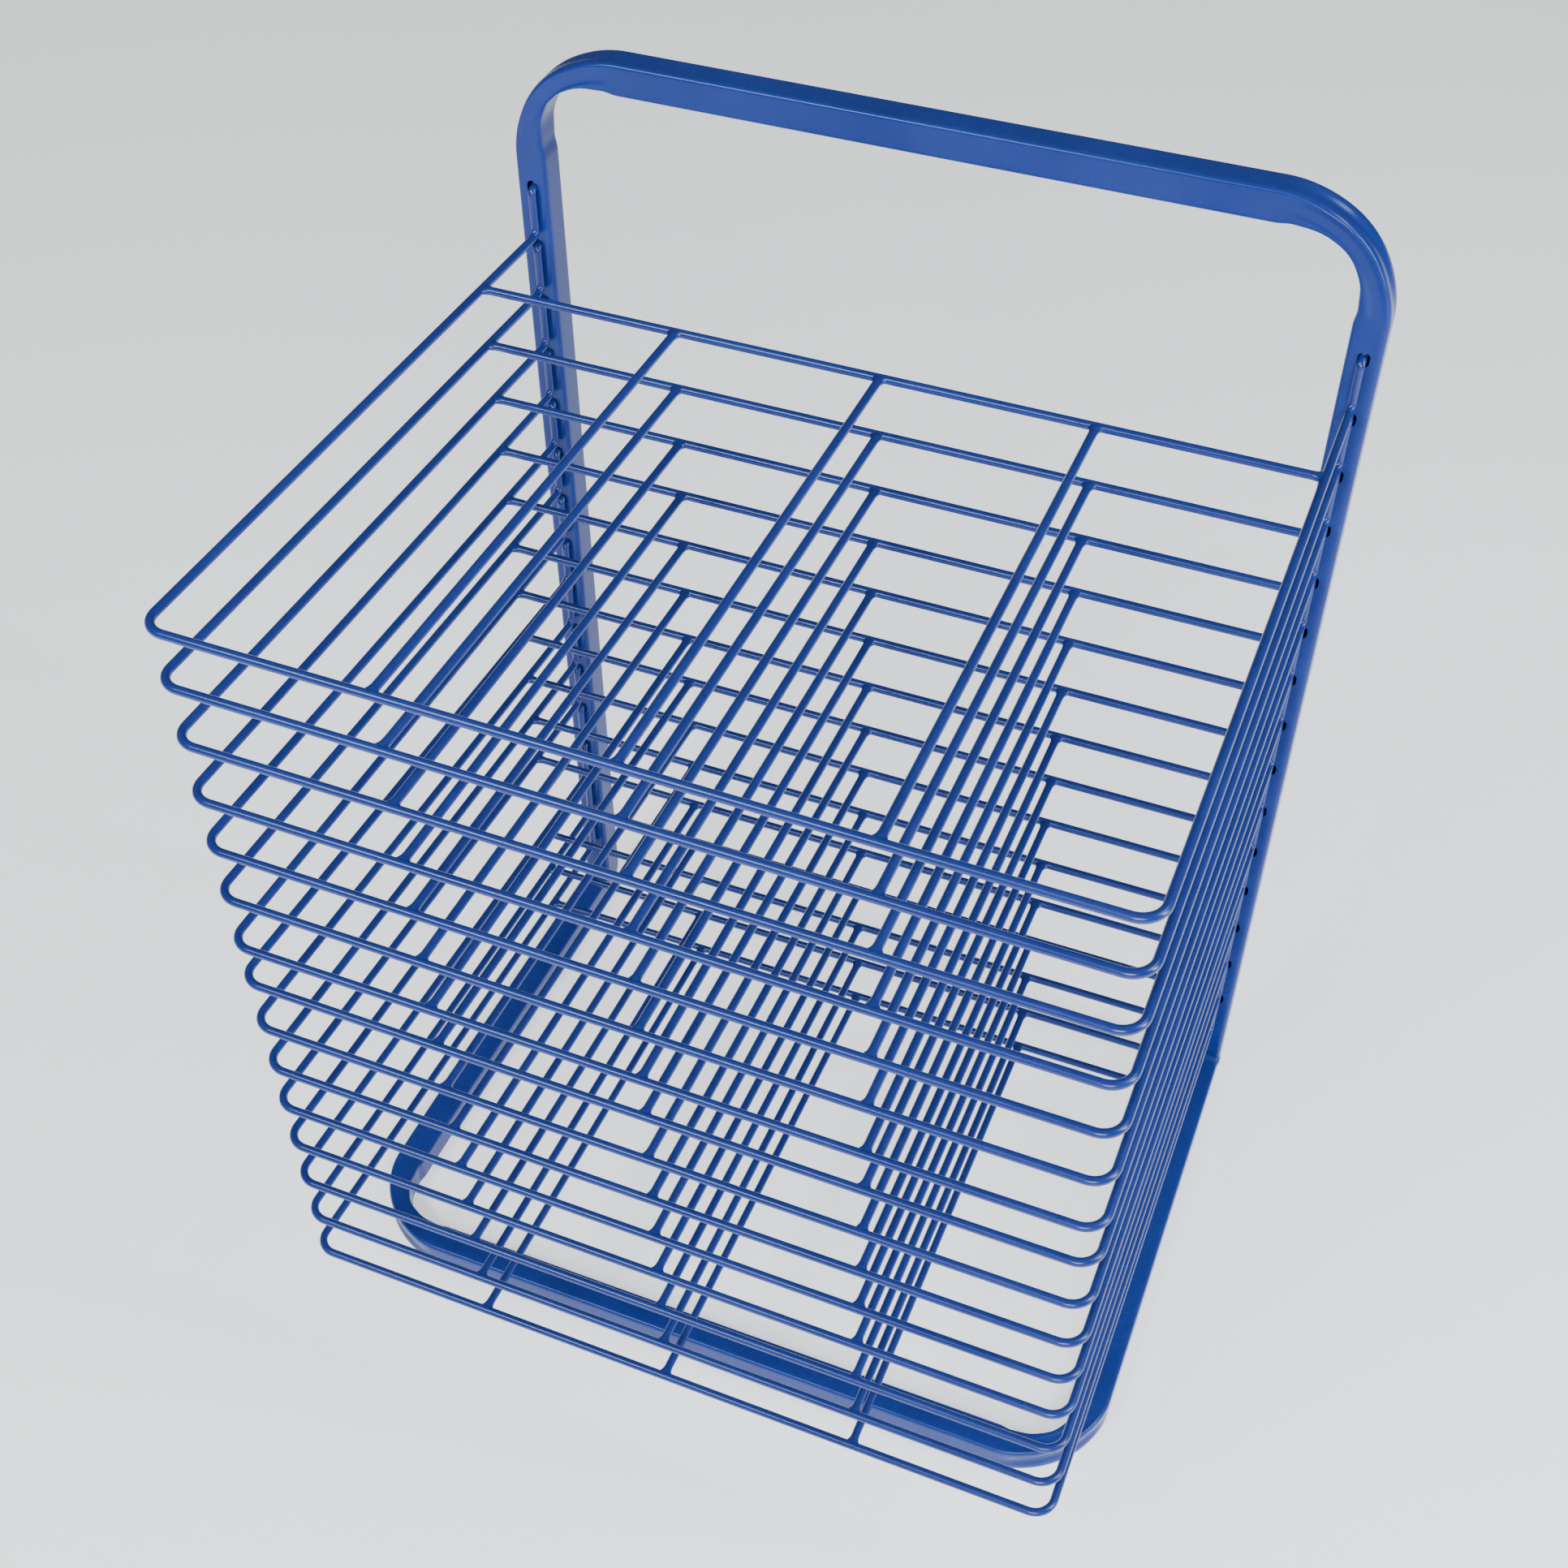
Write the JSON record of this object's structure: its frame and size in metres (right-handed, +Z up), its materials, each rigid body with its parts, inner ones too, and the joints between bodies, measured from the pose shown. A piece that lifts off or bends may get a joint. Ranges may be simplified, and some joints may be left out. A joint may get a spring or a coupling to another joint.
{
  "type": "table-top paper drying rack",
  "caption": "Free-standing square-tube frame with a column of hinged wire shelves that hold sheets flat while they dry.",
  "frame": {"origin": "centre of the outline of the whole rack on the table, under the base", "axes": "+Z up, the open front that takes the paper faces -Y, +X to the right seen from the front"},
  "size_m": [0.524, 0.446, 0.724],
  "materials": {
    "blue_powder_coat": "semi-gloss powder coat",
    "bare_steel": "dull zinc-plated"
  },
  "bodies": {
    "frame": {"top_hoop": "blue_powder_coat", "left_upright": "blue_powder_coat", "right_upright": "blue_powder_coat", "base_hoop": "blue_powder_coat", "lower_left_sleeve": "bare_steel", "lower_right_sleeve": "bare_steel", "upper_left_sleeve": "bare_steel", "upper_right_sleeve": "bare_steel"},
    "shelf_01": {"shelf_01_rim": "blue_powder_coat", "shelf_01_back_rail": "blue_powder_coat", "shelf_01_cross_wires": "blue_powder_coat"},
    "shelf_02": {"shelf_02_rim": "blue_powder_coat", "shelf_02_back_rail": "blue_powder_coat", "shelf_02_cross_wires": "blue_powder_coat"},
    "shelf_03": {"shelf_03_rim": "blue_powder_coat", "shelf_03_back_rail": "blue_powder_coat", "shelf_03_cross_wires": "blue_powder_coat"},
    "shelf_04": {"shelf_04_rim": "blue_powder_coat", "shelf_04_back_rail": "blue_powder_coat", "shelf_04_cross_wires": "blue_powder_coat"},
    "shelf_05": {"shelf_05_rim": "blue_powder_coat", "shelf_05_back_rail": "blue_powder_coat", "shelf_05_cross_wires": "blue_powder_coat"},
    "shelf_06": {"shelf_06_rim": "blue_powder_coat", "shelf_06_back_rail": "blue_powder_coat", "shelf_06_cross_wires": "blue_powder_coat"},
    "shelf_07": {"shelf_07_rim": "blue_powder_coat", "shelf_07_back_rail": "blue_powder_coat", "shelf_07_cross_wires": "blue_powder_coat"},
    "shelf_08": {"shelf_08_rim": "blue_powder_coat", "shelf_08_back_rail": "blue_powder_coat", "shelf_08_cross_wires": "blue_powder_coat"},
    "shelf_09": {"shelf_09_rim": "blue_powder_coat", "shelf_09_back_rail": "blue_powder_coat", "shelf_09_cross_wires": "blue_powder_coat"},
    "shelf_10": {"shelf_10_rim": "blue_powder_coat", "shelf_10_back_rail": "blue_powder_coat", "shelf_10_cross_wires": "blue_powder_coat"},
    "shelf_11": {"shelf_11_rim": "blue_powder_coat", "shelf_11_back_rail": "blue_powder_coat", "shelf_11_cross_wires": "blue_powder_coat"},
    "shelf_12": {"shelf_12_rim": "blue_powder_coat", "shelf_12_back_rail": "blue_powder_coat", "shelf_12_cross_wires": "blue_powder_coat"},
    "shelf_13": {"shelf_13_rim": "blue_powder_coat", "shelf_13_back_rail": "blue_powder_coat", "shelf_13_cross_wires": "blue_powder_coat"},
    "shelf_14": {"shelf_14_rim": "blue_powder_coat", "shelf_14_back_rail": "blue_powder_coat", "shelf_14_cross_wires": "blue_powder_coat"},
    "shelf_15": {"shelf_15_rim": "blue_powder_coat", "shelf_15_back_rail": "blue_powder_coat", "shelf_15_cross_wires": "blue_powder_coat"}
  },
  "joints": [
    {"name": "shelf_01_hinge", "type": "hinge", "parent": "frame", "child": "shelf_01", "pos_m": [0, 0.20359, 0.6345], "axis": [-1, 0, 0], "range_deg": [0, 65]},
    {"name": "shelf_02_hinge", "type": "hinge", "parent": "frame", "child": "shelf_02", "pos_m": [0, 0.20359, 0.5955], "axis": [-1, 0, 0], "range_deg": [0, 65]},
    {"name": "shelf_03_hinge", "type": "hinge", "parent": "frame", "child": "shelf_03", "pos_m": [0, 0.20359, 0.5565], "axis": [-1, 0, 0], "range_deg": [0, 65]},
    {"name": "shelf_04_hinge", "type": "hinge", "parent": "frame", "child": "shelf_04", "pos_m": [0, 0.20359, 0.5175], "axis": [-1, 0, 0], "range_deg": [0, 65]},
    {"name": "shelf_05_hinge", "type": "hinge", "parent": "frame", "child": "shelf_05", "pos_m": [0, 0.20359, 0.4785], "axis": [-1, 0, 0], "range_deg": [0, 65]},
    {"name": "shelf_06_hinge", "type": "hinge", "parent": "frame", "child": "shelf_06", "pos_m": [0, 0.20359, 0.4395], "axis": [-1, 0, 0], "range_deg": [0, 65]},
    {"name": "shelf_07_hinge", "type": "hinge", "parent": "frame", "child": "shelf_07", "pos_m": [0, 0.20359, 0.4005], "axis": [-1, 0, 0], "range_deg": [0, 65]},
    {"name": "shelf_08_hinge", "type": "hinge", "parent": "frame", "child": "shelf_08", "pos_m": [0, 0.20359, 0.3615], "axis": [-1, 0, 0], "range_deg": [0, 65]},
    {"name": "shelf_09_hinge", "type": "hinge", "parent": "frame", "child": "shelf_09", "pos_m": [0, 0.20359, 0.3225], "axis": [-1, 0, 0], "range_deg": [0, 65]},
    {"name": "shelf_10_hinge", "type": "hinge", "parent": "frame", "child": "shelf_10", "pos_m": [0, 0.20359, 0.2835], "axis": [-1, 0, 0], "range_deg": [0, 65]},
    {"name": "shelf_11_hinge", "type": "hinge", "parent": "frame", "child": "shelf_11", "pos_m": [0, 0.20359, 0.2445], "axis": [-1, 0, 0], "range_deg": [0, 65]},
    {"name": "shelf_12_hinge", "type": "hinge", "parent": "frame", "child": "shelf_12", "pos_m": [0, 0.20359, 0.2055], "axis": [-1, 0, 0], "range_deg": [0, 65]},
    {"name": "shelf_13_hinge", "type": "hinge", "parent": "frame", "child": "shelf_13", "pos_m": [0, 0.20359, 0.1665], "axis": [-1, 0, 0], "range_deg": [0, 65]},
    {"name": "shelf_14_hinge", "type": "hinge", "parent": "frame", "child": "shelf_14", "pos_m": [0, 0.20359, 0.1275], "axis": [-1, 0, 0], "range_deg": [0, 65]},
    {"name": "shelf_15_hinge", "type": "hinge", "parent": "frame", "child": "shelf_15", "pos_m": [0, 0.20359, 0.0885], "axis": [-1, 0, 0], "range_deg": [0, 65]}
  ],
  "couplings": [
    {"joint": "shelf_01_hinge", "follows": "shelf_15_hinge", "ratio": 1},
    {"joint": "shelf_02_hinge", "follows": "shelf_15_hinge", "ratio": 1},
    {"joint": "shelf_03_hinge", "follows": "shelf_15_hinge", "ratio": 1},
    {"joint": "shelf_04_hinge", "follows": "shelf_15_hinge", "ratio": 1},
    {"joint": "shelf_05_hinge", "follows": "shelf_15_hinge", "ratio": 1},
    {"joint": "shelf_06_hinge", "follows": "shelf_15_hinge", "ratio": 1},
    {"joint": "shelf_07_hinge", "follows": "shelf_15_hinge", "ratio": 1},
    {"joint": "shelf_08_hinge", "follows": "shelf_15_hinge", "ratio": 1},
    {"joint": "shelf_09_hinge", "follows": "shelf_15_hinge", "ratio": 1},
    {"joint": "shelf_10_hinge", "follows": "shelf_15_hinge", "ratio": 1},
    {"joint": "shelf_11_hinge", "follows": "shelf_15_hinge", "ratio": 1},
    {"joint": "shelf_12_hinge", "follows": "shelf_15_hinge", "ratio": 1},
    {"joint": "shelf_13_hinge", "follows": "shelf_15_hinge", "ratio": 1},
    {"joint": "shelf_14_hinge", "follows": "shelf_15_hinge", "ratio": 1}
  ]
}
